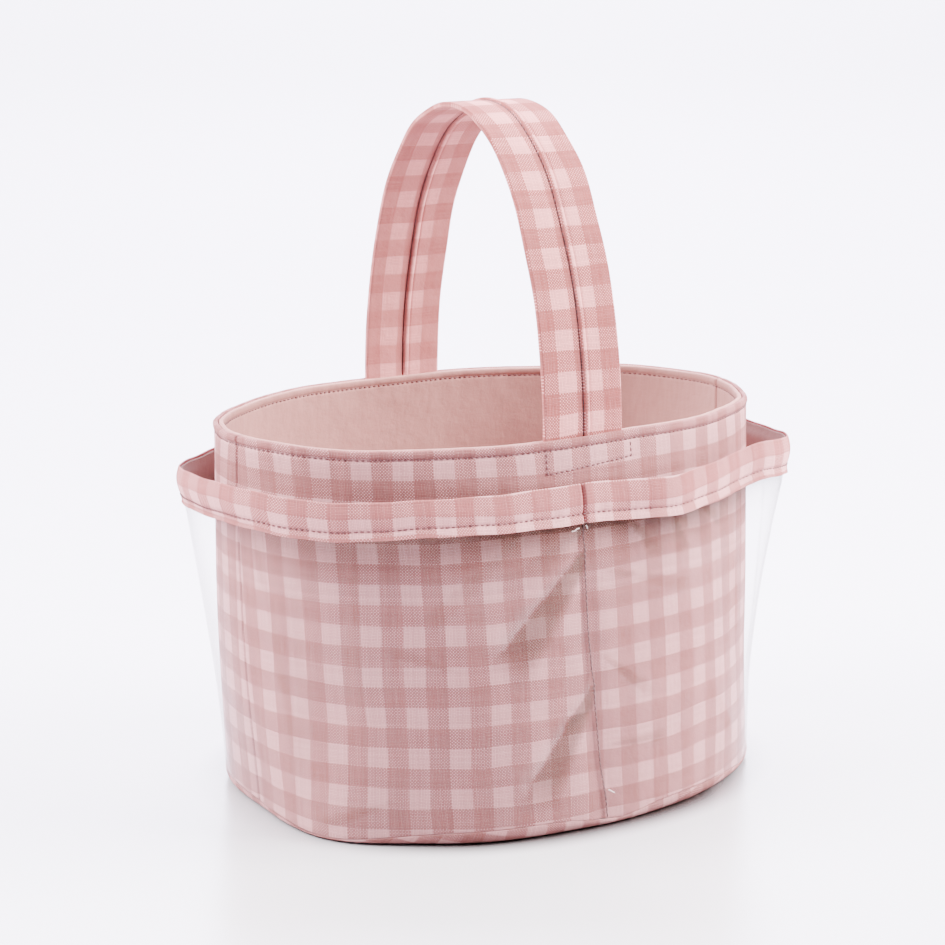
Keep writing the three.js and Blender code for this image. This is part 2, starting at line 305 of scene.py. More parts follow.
def swept(name, rows, cloth, material):
    """A mesh of closed skins, one or many, over rows of points that each go once round a section."""
    count, size = rows.shape[-3:-1]
    index = np.arange(count * size).reshape(count, size)
    here, above = index[:-1], index[1:]
    sides = np.stack([here, np.roll(here, -1, 1), np.roll(above, -1, 1), above], -1).reshape(-1, 4)
    skin = [*sides.tolist(), index[0][::-1].tolist(), index[-1].tolist()]
    points = rows.reshape(-1, 3)
    starts = range(0, len(points), count * size)
    faces = [[start + corner for corner in face] for start in starts for face in skin]
    if volume_of(points, faces) < 0:
        faces = [face[::-1] for face in faces]
    mesh = bpy.data.meshes.new(name)
    mesh.from_pydata((points * MM).tolist(), [], faces)
    place = mesh.attributes.new("cloth", "FLOAT_VECTOR", "POINT")
    place.data.foreach_set("vector", cloth.astype(np.float32).ravel())
    mesh.polygons.foreach_set("use_smooth", [True] * len(mesh.polygons))
    mesh.set_sharp_from_angle(angle=SHARP_ANGLE)
    mesh.materials.append(material)
    mesh.update()
    piece = bpy.data.objects.new(name, mesh)
    bpy.context.scene.collection.objects.link(piece)
    return piece


def along(points, axis):
    """Distance travelled from point to point along one axis of a grid."""
    steps = np.linalg.norm(np.diff(points, axis=axis), axis=-1)
    total = np.cumsum(steps, axis=axis)
    first = np.zeros_like(np.take(total, [0], axis=axis))
    return np.concatenate([first, total], axis=axis)


def cloth_places(points, middle_row, v_start=0):
    """Where each point lies on its flat cloth: across from the middle row, and along the section."""
    u = along(points, 0)
    u = u - u[middle_row]
    return np.stack([u, v_start + along(points, 1), np.zeros_like(u)], -1)


# A stitch's mesh: the rings along it, the sides round it, and, as shares of the thread's radius, how
# it rises in the middle, dives into the cloth and thins at its ends
STITCH_RINGS = 7
STITCH_SIDES = 6
STITCH_LIFT = 0.75
STITCH_DIVE = 2.2
STITCH_THINNING = 0.3


def stitches(name, path, out, material, length=STITCH_LENGTH, radius=THREAD_RADIUS):
    """A row of sewn stitches laid along a path on cloth, with out as the way off the cloth."""
    distance = along(path, 0)
    count = int(distance[-1] // STITCH_PITCH)
    spare = (distance[-1] - count * STITCH_PITCH) / 2
    centres = spare + (np.arange(count) + 0.5) * STITCH_PITCH
    reach = np.linspace(-1, 1, STITCH_RINGS)
    where = centres[:, None] + reach[None, :] * length / 2
    line = np.stack([np.interp(where, distance, path[:, k]) for k in range(3)], -1)
    off = unit(np.stack([np.interp(where, distance, out[:, k]) for k in range(3)], -1))
    aside = np.cross(unit(np.gradient(line, axis=1)), off)
    lift = radius * (STITCH_LIFT - STITCH_DIVE * reach ** 4)
    width = radius * (1 - STITCH_THINNING * reach ** 2)
    turn = np.arange(STITCH_SIDES)[:, None] * 2 * math.pi / STITCH_SIDES
    around = aside[:, :, None] * np.cos(turn) + off[:, :, None] * np.sin(turn)
    points = (line + off * lift[:, None])[:, :, None] + around * width[:, None, None]
    u = np.broadcast_to(where[:, :, None], points.shape[:3])
    v = np.broadcast_to(np.sin(turn[:, 0]) * radius, points.shape[:3])
    return swept(name, points, np.stack([u, v, np.zeros_like(u)], -1), material)


# Materials

class Graph:
    """A material's nodes, made one line at a time."""

    def __init__(self, name):
        self.material = bpy.data.materials.new(name)
        self.material.use_nodes = True
        self.tree = self.material.node_tree

    def fill(self, node, inputs):
        for key, value in inputs.items():
            if isinstance(value, bpy.types.NodeSocket):
                self.tree.links.new(value, node.inputs[key])
            else:
                node.inputs[key].default_value = value

    def node(self, kind, inputs=(), **settings):
        made = self.tree.nodes.new(kind)
        for key, value in settings.items():
            setattr(made, key, value)
        self.fill(made, dict(inputs))
        return made

    def math(self, operation, *values):
        return self.node("ShaderNodeMath", dict(enumerate(values)), operation=operation).outputs[0]

    def mix(self, share, low, high, blend="MIX"):
        inputs = {"Factor": share, "A": low, "B": high}
        return self.node("ShaderNodeMix", inputs, data_type="RGBA", blend_type=blend).outputs["Result"]

    def noise(self, place, scale, detail=2.0, roughness=0.5):
        inputs = {"Vector": place, "Scale": scale, "Detail": detail, "Roughness": roughness}
        return self.node("ShaderNodeTexNoise", inputs).outputs[0]

    def ranged(self, value, low, high, to_low, to_high, **settings):
        inputs = {0: value, 1: low, 2: high, 3: to_low, 4: to_high}
        return self.node("ShaderNodeMapRange", inputs, **settings).outputs[0]

    def combined(self, x, y, z=0.0):
        return self.node("ShaderNodeCombineXYZ", {0: x, 1: y, 2: z}).outputs[0]

    def split(self, vector):
        return self.node("ShaderNodeSeparateXYZ", {0: vector}).outputs

    def cloth_place(self):
        """Where the surface lies on its flat cloth, in millimetres."""
        return self.node("ShaderNodeAttribute", attribute_name="cloth").outputs["Vector"]

    def object_place(self):
        return self.node("ShaderNodeTexCoord").outputs["Object"]

    def bump(self, height, strength, depth, over=None):
        """A relief that is depth millimetres deep, on top of another one where that is given."""
        inputs = {"Strength": strength, "Distance": depth * MM, "Height": height}
        if over is not None:
            inputs["Normal"] = over
        return self.node("ShaderNodeBump", inputs).outputs[0]

    def finished(self, inputs):
        self.fill(self.tree.nodes["Principled BSDF"], inputs)
        return self.material


def toned(colour, by):
    return tuple(min(1, part * by) for part in colour[:3]) + (1,)


# Woven cloth drifts this far from its true place, differently along its width and its length
DRIFT = 2
DRIFT_FINENESS = 0.02
DRIFT_STEP = (71, 37, 0)


def cloth_uv(graph):
    """The place on the flat cloth, in millimetres, with the small drift that woven cloth has."""
    place = graph.cloth_place()
    elsewhere = graph.node("ShaderNodeVectorMath", {0: place, 1: DRIFT_STEP}, operation="ADD").outputs[0]
    drifted = []
    for part, source in zip(graph.split(place)[:2], (place, elsewhere)):
        drift = graph.ranged(graph.noise(source, DRIFT_FINENESS), 0, 1, -DRIFT, DRIFT)
        drifted.append(graph.math("ADD", part, drift))
    return place, *drifted


def weave(graph, u, v, pitch):
    """Plain weave: each yarn's middle and tone, which yarn is on top at a crossing, and its height."""
    places, tones, bumps, counts = [], [], [], []
    for value in (u, v):
        across = graph.math("DIVIDE", value, pitch)
        count = graph.math("FLOOR", across)
        random = graph.node("ShaderNodeTexWhiteNoise", {"W": count}, noise_dimensions="1D")
        counts.append(count)
        places.append(graph.math("MULTIPLY", graph.math("ADD", count, 0.5), pitch))
        tones.append(random.outputs["Value"])
        bumps.append(graph.math("SINE", graph.math("MULTIPLY", graph.math("FRACT", across), math.pi)))
    warp_on_top = graph.math("FLOORED_MODULO", graph.math("ADD", *counts), 2)
    return places, tones, warp_on_top, graph.math("MULTIPLY", *bumps)


def stripes(graph, value, light_centre):
    """1 on the dyed stripe and 0 on the undyed one, which is centred on light_centre."""
    turned = graph.math("MULTIPLY", graph.math("SUBTRACT", value, light_centre), 2 * math.pi / REPEAT)
    return graph.ranged(graph.math("COSINE", turned), 0.03, -0.03, 0, 1)


YARN_PITCH = REPEAT / 26
YARN_RELIEF = (0.5, 0.06)
SLUB_ACROSS = 1.6
SLUB_ALONG = 0.05
WARP_SLUBS = 0.12
WEFT_SLUBS = 0.09

DYED = (0.218, 0.075, 0.073, 1)
UNDYED = (0.425, 0.193, 0.198, 1)
SLUB = (0.74, 0.48, 0.48, 1)
# The band's and the strap's checks are the wall's cloth in lighter, redder tones: painted light, for the
# greater light that falls on them
BAND_DYED_PAINTED_LIGHT = (0.285, 0.087, 0.085, 1)
BAND_UNDYED_PAINTED_LIGHT = (0.55, 0.245, 0.25, 1)
STRAP_DYED_PAINTED_LIGHT = (0.262, 0.067, 0.062, 1)
STRAP_UNDYED_PAINTED_LIGHT = (0.59, 0.22, 0.215, 1)
STRAP_UNDERSIDE_PAINTED_LIGHT = (0.35, 0.105, 0.098, 1)
CHECKS_SHEEN = (1, 0.8, 0.8, 1)
PLAIN_SHEEN = (1, 0.86, 0.84, 1)
VINYL_HAZE = (0.42, 0.38, 0.43, 1)
# The clear sheet's painted highlight colour and painted shade colour
VINYL_GLARE = (0.86, 0.78, 0.8, 1)
VINYL_SHADE = (0.07, 0.04, 0.025, 1)
FLOOR_TONES = ((0.515, 0.49, 0.52, 1), (0.53, 0.505, 0.535, 1))
# The colour of the floor's painted contact shadow
FLOOR_SHADE = (0.03, 0.022, 0.022, 1)


def slubs(graph, u, v, fine_u, fine_v):
    """The long uneven streaks of the yarns that run one way, or of both."""
    place = graph.combined(graph.math("MULTIPLY", u, fine_u), graph.math("MULTIPLY", v, fine_v))
    return graph.noise(place, 1.0, 3)


def cloth_relief(graph, place, yarn_height, fineness, strength, depth):
    """The yarns' relief on top of soft wrinkles."""
    wrinkles = graph.bump(graph.noise(place, fineness, 4, 0.6), strength, depth)
    return graph.bump(yarn_height, *YARN_RELIEF, wrinkles)


def gingham(name, light_u, light_v, dyed=DYED, undyed=UNDYED, under=None):
    """Checked cloth. Where a tone is given for the underside, its dyed yarns are painted paler there, as
    painted light.
    """
    graph = Graph(name)
    place, u, v = cloth_uv(graph)
    # Painted light: paler dyed yarns on the underside
    if under:
        dyed = graph.mix(graph.split(place)[2], dyed, under)
    places, tones, warp_on_top, height = weave(graph, u, v, YARN_PITCH)
    dyed_warp = stripes(graph, places[0], light_u)
    dyed_weft = stripes(graph, places[1], light_v)
    # Where an undyed yarn crosses dyed ones, only the crown of it shows
    sunk = graph.ranged(height, 0.2, 0.55, 1, 0.05)
    shown_warp = graph.math("MAXIMUM", dyed_warp, graph.math("MULTIPLY", dyed_weft, sunk))
    shown_weft = graph.math("MAXIMUM", dyed_weft, graph.math("MULTIPLY", dyed_warp, sunk))
    warp_streaks = slubs(graph, u, v, SLUB_ACROSS, SLUB_ALONG)
    weft_streaks = slubs(graph, u, v, SLUB_ALONG, SLUB_ACROSS)
    warp = graph.mix(shown_warp, undyed, dyed)
    weft = graph.mix(shown_weft, undyed, dyed)
    warp = graph.mix(graph.ranged(warp_streaks, 0.4, 0.7, 0, WARP_SLUBS), warp, SLUB)
    weft = graph.mix(graph.ranged(weft_streaks, 0.4, 0.7, 0, WEFT_SLUBS), weft, SLUB)
    yarns = graph.mix(warp_on_top, weft, warp)
    # Each yarn has its own random tone, and the weave is painted darker where its relief is low and lighter
    # on the yarns' crowns: painted shade and light
    tone = graph.ranged(graph.mix(warp_on_top, tones[1], tones[0]), 0, 1, 0.84, 1.1)
    shade = graph.math("MULTIPLY", graph.ranged(height, 0, 0.7, 0.72, 1.06), tone)
    return graph.finished({
        "Base Color": graph.mix(1.0, yarns, graph.combined(shade, shade, shade), "MULTIPLY"),
        "Roughness": 0.88,
        "Normal": cloth_relief(graph, place, height, 0.09, 0.5, 1.4),
        "Specular IOR Level": 0.04,
        "Sheen Weight": 0.01,
        "Sheen Roughness": 0.5,
        "Sheen Tint": CHECKS_SHEEN,
    })


def plain_cloth(name, colour):
    graph = Graph(name)
    place, u, v = cloth_uv(graph)
    tones, warp_on_top, height = weave(graph, u, v, YARN_PITCH)[1:]
    paler = toned(colour, 1.14)
    tone = graph.mix(graph.ranged(slubs(graph, u, v, 0.5, 0.1), 0.35, 0.7, 0, 1), colour, paler)
    pale_yarns = graph.math("MULTIPLY", graph.mix(warp_on_top, tones[1], tones[0]), 0.6)
    return graph.finished({
        "Base Color": graph.mix(pale_yarns, tone, paler),
        "Roughness": 0.9,
        "Normal": cloth_relief(graph, place, height, 0.07, 0.45, 1.6),
        "Specular IOR Level": 0.05,
        "Sheen Weight": 0.02,
        "Sheen Tint": PLAIN_SHEEN,
    })


def clear_vinyl(name):
    """Clear flexible sheet. Its opacity is the share of light that it throws back, more at a glance, and
    more still where a dark colour paints shade or a pale one paints a highlight.
    """
    graph = Graph(name)
    place = graph.cloth_place()
    # The sheet's painted light and shade is kept as the cloth place's third part: less than 0 is painted
    # shade, more is painted highlight
    light = graph.split(place)[2]
    glance = graph.node("ShaderNodeLayerWeight", {"Blend": 0.5}).outputs["Facing"]
    patchy = graph.ranged(graph.noise(place, 0.02, 3, 0.6), 0.35, 0.7, 0.006, 0.018)
    glare = graph.ranged(light, 0, 1, 0, 0.045)
    shade = graph.ranged(light, -3.4, 0, 0.44, 0)
    edge = graph.math("MULTIPLY", graph.math("POWER", glance, 6), 0.6)
    caught = graph.math("ADD", patchy, graph.math("ADD", glare, shade))
    hazy = graph.mix(graph.ranged(light, 0, 0.4, 0, 1), VINYL_HAZE, VINYL_GLARE)
    return graph.finished({
        "Base Color": graph.mix(graph.ranged(light, -0.3, 0, 1, 0), hazy, VINYL_SHADE),
        "Roughness": 0.13,
        "Alpha": graph.math("MINIMUM", graph.math("ADD", caught, edge), 0.45),
        "IOR": 1.8,
        "Specular IOR Level": graph.ranged(light, -0.7, 0, 0.12, 0.5),
        "Normal": graph.bump(graph.noise(place, 0.035, 2, 0.5), 0.4, 2),
    })


def thread(name, colour):
    """Sewing thread, with its twist as slanting stripes, painted darker in the low parts of their relief as
    painted shade.
    """
    graph = Graph(name)
    split = graph.split(graph.cloth_place())
    twist = graph.math("SINE", graph.math("MULTIPLY", graph.math("ADD", split[0], split[1]), 16))
    return graph.finished({
        "Base Color": graph.mix(graph.ranged(twist, -1, 1, 0, 1), toned(colour, 0.7), colour),
        "Roughness": 0.6,
        "Normal": graph.bump(twist, 0.4, 0.05),
    })


def fibre_board(name, colour):
    graph = Graph(name)
    flecks = graph.noise(graph.object_place(), 900, 4, 0.6)
    return graph.finished({
        "Base Color": graph.mix(graph.ranged(flecks, 0.35, 0.65, 0, 1), colour, toned(colour, 1.1)),
        "Roughness": 0.75,
        "Normal": graph.bump(flecks, 0.3, 0.1),
    })


def studio_floor(name):
    """A plain glossy floor, with a painted shadow close round the caddy's foot that is weaker at its two
    ends.
    """
    graph = Graph(name)
    place = graph.object_place()
    powers = []
    for part, half in zip(graph.split(place)[:2], (BASE_HALF_LENGTH, BASE_HALF_WIDTH)):
        share = graph.math("DIVIDE", graph.math("ABSOLUTE", part), half * MM)
        powers.append(graph.math("POWER", share, OVAL_POWER))
    off_foot = graph.math("ADD", *powers)
    # Painted contact shadow round the caddy's foot
    shade = graph.ranged(off_foot, 0.95, 1.38, 1, 0, interpolation_type="SMOOTHSTEP")
    less_at_ends = graph.ranged(powers[0], 0.2, 1, 1, 0.35)
    plain = graph.mix(graph.noise(place, 6, 2), *FLOOR_TONES)
    return graph.finished({
        "Base Color": graph.mix(graph.math("MULTIPLY", shade, less_at_ends), plain, FLOOR_SHADE),
        "Roughness": 0.25,
        "IOR": 2.3,
    })


# Each checked cloth, with where the middle of a light stripe is on its width and on its length
wall_checks = gingham("wall_checks", -14.5, 3.5)
band_checks = gingham("band_checks", -11.8, 4.5, BAND_DYED_PAINTED_LIGHT, BAND_UNDYED_PAINTED_LIGHT)
strap_checks = gingham("strap_checks", -9, 6.8, STRAP_DYED_PAINTED_LIGHT, STRAP_UNDYED_PAINTED_LIGHT, STRAP_UNDERSIDE_PAINTED_LIGHT)
base_checks = gingham("base_checks", 3, 6)
pink_lining = plain_cloth("pink_lining", (0.31, 0.145, 0.13, 1))
# The facing's plain cloth is painted darker than the lining: painted shade inside the pockets
facing_cloth_painted_shade = plain_cloth("facing_cloth_painted_shade", (0.2, 0.115, 0.103, 1))
vinyl = clear_vinyl("clear_vinyl_sheet")
pink_thread = thread("pink_thread", (0.12, 0.028, 0.034, 1))
pale_thread = thread("pale_thread", (0.2, 0.065, 0.065, 1))
dark_thread = thread("dark_thread", (0.08, 0.028, 0.032, 1))
white_thread = thread("white_thread", (0.62, 0.48, 0.48, 1))
board = fibre_board("grey_board", (0.66, 0.64, 0.61, 1))


def finish_piece(piece, slot, body, *nodes):
    if body:
        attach(piece, body)
    if nodes:
        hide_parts(*nodes)


# Wall cloth and lining

SIDE_SEAM_FORWARD = 6
SIDE_SEAM_TURN = math.asin((SIDE_SEAM_FORWARD / RIM_HALF_WIDTH) ** (OVAL_POWER / 2))
LEFT_SEAM = math.pi + SIDE_SEAM_TURN
RIGHT_SEAM = 2 * math.pi - SIDE_SEAM_TURN
WALL_SIDES = {
    "front": (LEFT_SEAM, RIGHT_SEAM, FRONT),
    "back": (RIGHT_SEAM - 2 * math.pi, LEFT_SEAM, BACK),
}

# The angle left open at each seam, and the mesh's steps round the wall, finer for a run by the seams
SEAM_GAP = 0.0006
WALL_STEP = 2.2
FINE_STEP = 0.5
FINE_RUN = 5

HEM_FOLD = 1.1
HEM_SWELL = 0.6
HEM_DIP = 0.55
HEM_DIP_WIDTH = 0.75
HEM_FLAT = 0.6
HEM_TURN_BACK = 2
LINING_BELOW = 0.2
LINING_SWELL_SHARE = 0.6
HEM_MIDDLE = WALL_THICKNESS / 2


def hem_swell(z):
    """The swelling of a hem between its stitches and its fold, and the dip along the stitches."""
    start = HEM_BOTTOM + HEM_FLAT
    swelling = HEM_SWELL * np.sin(math.pi * np.clip((z - start) / (BASKET_HEIGHT - start), 0, 1))
    return swelling - HEM_DIP * bell(z, HEM_BOTTOM, HEM_DIP_WIDTH)


def fold_over(outer, inner, top, radius):
    """Points over the top of a folded edge, from the outer face to the inner."""
    turn = np.linspace(0, math.pi, 13)[1:]
    centre = (outer + inner) / 2
    return [(centre - (inner - outer) / 2 * math.cos(t), top - radius + radius * math.sin(t)) for t in turn]


def hemmed(face, back_inset, top, inside_inset, inside_heights):
    """A section of turned-in cloth, from its face over the fold and down behind it."""
    fold = fold_over(face[-1][0], back_inset, top, HEM_FOLD)
    back = [(back_inset, z) for z in np.linspace(BASKET_HEIGHT - HEM_TURN_BACK, HEM_BOTTOM, 4)]
    inside = [(inside_inset, z) for z in inside_heights]
    return np.array(face + fold + back + inside)


def wall_profile():
    """The wall cloth's section as inset and height, with finer rows by the strap's end and the hem."""
    low = np.linspace(WALL_BOTTOM, TAIL_BOTTOM - 3, 76)
    by_tail = np.arange(TAIL_BOTTOM - 2.2, HEM_BOTTOM - 3, 0.7)
    hem = np.linspace(HEM_BOTTOM - 3, BASKET_HEIGHT - HEM_FOLD, 20)[1:]
    face = [(0.0, z) for z in (*low, *by_tail)] + [(-float(hem_swell(z)), z) for z in hem]
    inside = np.linspace(HEM_BOTTOM - 1, WALL_BOTTOM, 24)
    return hemmed(face, HEM_MIDDLE - GAP / 2, BASKET_HEIGHT, WALL_CLOTH, inside)


def lining_profile():
    bottom = FLOOR_TOP + GAP
    top = BASKET_HEIGHT - LINING_BELOW
    low = np.linspace(bottom, HEM_BOTTOM - 2, 40)
    hem = np.linspace(HEM_BOTTOM - 2, top - HEM_FOLD, 14)[1:]
    face = [(WALL_THICKNESS, z) for z in low]
    face += [(WALL_THICKNESS + float(hem_swell(z)) * LINING_SWELL_SHARE, z) for z in hem]
    return hemmed(face, HEM_MIDDLE + GAP / 2, top, LINING_INSET, np.linspace(HEM_BOTTOM - 1, bottom, 20))


def seam_dip(points_u, width, depth):
    """How far cloth is drawn in beside the seams at both ends of a panel."""
    return depth * (bell(points_u, points_u[0], width) + bell(points_u, points_u[-1], width))


def angles_for_panel(low, high, step):
    """Angles along a panel, closer together beside the seams at its ends."""
    table = np.linspace(low, high, 4001)
    distance = along(oval(table, 0, BASKET_HEIGHT / 2), 0)
    length = distance[-1]
    near = np.arange(0, FINE_RUN, FINE_STEP)
    middle = np.linspace(FINE_RUN, length - FINE_RUN, int(length / step))
    places = np.concatenate([near, middle, length - near[::-1]])
    return np.interp(places, distance, table)


WALL_SEAM_DIP = (0.7, 1.3)


def wall_panel(name, profile, low, high, middle, material, inward):
    """One cloth of the wall. inward is 1 for the outer cloth's seams and -1 for the lining's."""
    angles = angles_for_panel(low + SEAM_GAP, high - SEAM_GAP, WALL_STEP)
    inset = profile[:, 0]
    z = np.broadcast_to(profile[:, 1], (len(angles), len(profile)))
    if inward > 0:
        z = settled(angles[:, None], z)
    even = oval(angles[:, None], inset[None, :], z)
    middle_row = int(np.argmin(np.abs(angles - middle)))
    cloth = cloth_places(even, middle_row, v_start=z[:, :1])
    dip = seam_dip(cloth[:, :1, 0], *WALL_SEAM_DIP)
    rows = wall(angles[:, None], inset[None, :] + inward * dip, z)
    panel = swept(name, rows, cloth, material)
    return panel


def build_walls():
    for side, run in WALL_SIDES.items():
        cloth = wall_panel(f"wall_cloth_{side}", wall_profile(), *run, wall_checks, 1)
        # The padding is one ring inside both wall cloths, and the front one stands in for it
        filling = ["wall_padding"] if side == "front" else []
        finish_piece(cloth, "gingham", "root", f"wall_outer_{side}", *filling)
    for side, run in WALL_SIDES.items():
        lining = wall_panel(f"lining_{side}", lining_profile(), *run, pink_lining, -1)
        finish_piece(lining, "lining", "root", f"wall_lining_{side}")


def outward(angles):
    return unit(oval(angles, -1, BASKET_HEIGHT) - oval(angles, 0, BASKET_HEIGHT))


# How many points a line of stitches round the whole basket is drawn with, and how deep its stitches
# lie in the soft cloth
ROUND_POINTS = 1500
RIM_STITCH_DEPTH = 0.42
INNER_STITCH_DEPTH = 0.3


def build_rim_stitches():
    angles = np.linspace(0, 2 * math.pi, ROUND_POINTS)
    faces = (("outer", RIM_STITCH_DEPTH, 1), ("inner", WALL_THICKNESS - INNER_STITCH_DEPTH, -1))
    for face, inset, way in faces:
        path = wall(angles, inset, HEM_BOTTOM)
        row = stitches(f"rim_stitches_{face}", path, way * outward(angles), pink_thread)
        finish_piece(row, "gingham", "root")


# Pockets

# The band's fold, the swelling of its body above the stitches and of its lip below, its lean inward
# at the top, the dip along the stitches, and how far its cloth reaches down behind
BAND_FOLD = 1.4
BAND_SWELL = 1.0
BAND_LIP = 1.2
BAND_LEAN = 0.25
BAND_DIP = 0.5
BAND_DIP_WIDTH = 0.7
BAND_CLOTH = 1.25
FACING_CLOTH = 0.8
FACING_TOP = BAND_TOP - 1
FACING_BOTTOM = BAND_BOTTOM + 0.4

# At the tips the outer layer stands full, and the facing lies away from it but for its top edge
TIP_LEAN = 1.8
TIP_SWELL = 1.0
TIP_CLOSE = 1.1
TIP_HOLLOW = 0.9
TIP_LIP = 1.2
TIP_INSET = 0.3

# The height over which the pockets follow the band's rise, and over which its tuck fades
RISE_RUN = 60
TUCK_RUN = 12


def band_reach(angle):
    """How far the band's outer face stands off the wall, with the places where it sits fuller."""
    fullness = POCKET_MOUTH * (1 - POCKET_FORWARD * np.sin(angle))
    even = BAND_THICKNESS + GAP + fullness * np.abs(np.cos(angle)) ** POCKET_ROUNDNESS
    return even + hills(angle, BAND_BULGES)


def band_rise(angle):
    """How far the band rises and dips round the basket."""
    return hills(angle, BAND_RISES) + waves(angle, BAND_WAVES)


def pocket_point(angle, reach, z):
    """A point off the wall by reach, rising and dipping with the band."""
    out = reach + cloth_lumps(angle, z) * 0.5 + foot_spread(angle, z) - seam_valley(angle, z)
    points = oval(angle, -out, z)
    points[..., 2] += band_rise(angle) * ramp(z, BAND_BOTTOM - RISE_RUN, BAND_BOTTOM)
    points[..., 2] += hills(angle, BAND_TUCK) * bell(z, BAND_BOTTOM, TUCK_RUN)
    return points


def pocket_angles(side, step, z):
    """Angles for each row and each height of one pocket's panel, out to the leaning seam."""
    centre = 0 if side == "right" else math.pi
    quarter = math.pi / 2
    angles = angles_for_panel(centre - quarter + SEAM_GAP, centre + quarter - SEAM_GAP, step)
    near_front = ramp(np.abs(apart(angles, FRONT)), 0.7, 0)
    return angles[:, None] + near_front[:, None] * seam_lean(z)[None, :]


def band_profile():
    """The band's section: how far out of its middle plane, and the height."""
    low = np.linspace(BAND_BOTTOM, BAND_BOTTOM + 7, 15)
    z = np.concatenate([low, np.linspace(BAND_BOTTOM + 8, BAND_TOP - BAND_FOLD, 9)])
    over_stitch = (z - BAND_STITCH) / (BAND_TOP - BAND_STITCH)
    under_stitch = (BAND_STITCH - z) / (BAND_STITCH - BAND_BOTTOM)
    swell = np.where(over_stitch > 0, BAND_SWELL * np.sin(math.pi * over_stitch), BAND_LIP * under_stitch)
    lean = BAND_LEAN * (z - BAND_BOTTOM) / (BAND_TOP - BAND_BOTTOM)
    out = BAND_THICKNESS / 2 + swell - BAND_DIP * bell(z, BAND_STITCH, BAND_DIP_WIDTH) - lean
    behind = BAND_THICKNESS / 2 - BAND_CLOTH
    fold = fold_over(out[-1], behind, BAND_TOP, BAND_FOLD)
    back = [(behind, height) for height in np.linspace(BAND_TOP - 2, BAND_BOTTOM + 0.3, 12)]
    return np.array([*zip(out, z), *fold, *back])


def facing_profile():
    """The facing's section, a thin cloth with a rounded top edge."""
    face = -BAND_THICKNESS / 2
    inner = [(face, z) for z in np.linspace(FACING_BOTTOM, FACING_TOP - 0.6, 14)]
    edge = [(face + out, FACING_TOP - drop) for out, drop in ((0.15, 0.15), (0.5, 0), (FACING_CLOTH, 0.3))]
    back = [(face + FACING_CLOTH, z) for z in np.linspace(FACING_TOP - 1, FACING_BOTTOM, 12)]
    return np.array(inner + edge + back)


# The row of a pocket's mesh that lies on the front seam
SEAM_ROW = {"left": -1, "right": 0}
BAND_CHECK_SHIFT = {"left": 1.6, "right": -2.2}
# How far they drop towards the tips
TIP_CHECK_DROP = 2.6
BAND_STEP = 1.8
BAND_SEAM_DIP = (0.8, 1.4)
PUCKER_RUN = 5


def tip_reach(out, z):
    """How far out the band's layers stand at the tips, from their places in its section."""
    share = (z - BAND_BOTTOM) / (BAND_TOP - BAND_BOTTOM)
    fullness = np.sin(math.pi * share ** 1.6)
    close = ramp(share, 0.65, 0.92)
    facing = TIP_CLOSE * close - TIP_HOLLOW * fullness * (1 - close)
    lip = TIP_LIP * (out > 0) * ramp(BAND_STITCH - z, 0, 3)
    return TIP_LEAN * (share - 0.5) + np.where(out > 0, TIP_SWELL * fullness, facing) - lip - TIP_INSET


def band_panel(name, profile, side, material):
    """The band or its facing on one pocket."""
    out, z = profile[:, 0], profile[:, 1]
    angles = pocket_angles(side, BAND_STEP, z)
    reach = band_reach(angles) - BAND_THICKNESS / 2 + out
    reach = reach + waves(angles, BAND_PUCKERS) * bell(z, BAND_STITCH, PUCKER_RUN)
    reach = reach + np.cos(angles) ** 6 * tip_reach(out, z)
    even = oval(angles, -reach, z)
    cloth = cloth_places(even, SEAM_ROW[side])
    stitch_column = int(np.argmin(np.abs(z - BAND_STITCH)))
    cloth[..., 0] = cloth[:, stitch_column, None, 0] + BAND_CHECK_SHIFT[side]
    cloth[..., 1] -= TIP_CHECK_DROP * ramp(np.abs(np.cos(angles[:, :1])), 0.2, 0.65)
    dip = seam_dip(cloth[:, :1, 0], *BAND_SEAM_DIP)
    height = z - dip / 2 * ramp(z, BAND_BOTTOM, BAND_TOP)
    rows = pocket_point(angles, reach - dip, height)
    panel = swept(name, rows, cloth, material)
    return panel


# Sharp folds in the clear sheets: where each starts and ends, as distance from the front seam and
# height, then its width, how far it stands out and how strongly it is painted with light and shade
VINYL_FOLDS = {
    "left": [
        ((1, 141), (40, 94), 16, 1.2, 1.7),
        ((0, 76), (31, 27), 13, 1.2, 1.5),
        ((2, 150), (30, 134), 9, 1.0, 0.35),
        ((30, 150), (75, 112), 10, 1.0, 0.3),
        ((60, 86), (86, 94), 6, 0.6, -0.45),
        ((3, 62), (14, 57), 5, 0.4, 0.7),
        ((92, 26), (128, 19), 6, 0.7, 0.5),
        ((100, 150), (112, 70), 9, 0.8, 0.25),
        ((126, 150), (132, 40), 8, 0.9, -0.3),
        ((150, 150), (146, 40), 7, 0.9, 0.35),
    ],
    "right": [
        ((14, 150), (22, 132), 6, 0.8, -1.1),
        ((34, 150), (42, 134), 7, 0.9, 1.0),
        ((48, 152), (62, 138), 6, 0.7, -0.9),
        ((4, 128), (40, 118), 7, 0.8, 0.6),
        ((2, 84), (18, 62), 6, 0.7, -0.8),
        ((4, 42), (28, 38), 5, 0.7, -0.8),
        ((75, 150), (86, 80), 9, 0.9, 0.3),
        ((100, 150), (104, 60), 7, 0.9, -0.3),
        ((122, 150), (116, 50), 7, 0.9, 0.3),
        ((60, 60), (84, 30), 7, 0.7, 0.25),
    ],
}


# A fold's narrow start as a share of its width, and its painted highlight's strength beside its painted
# shade's
FOLD_START = 0.3
BRIGHT_SHARE = 0.4


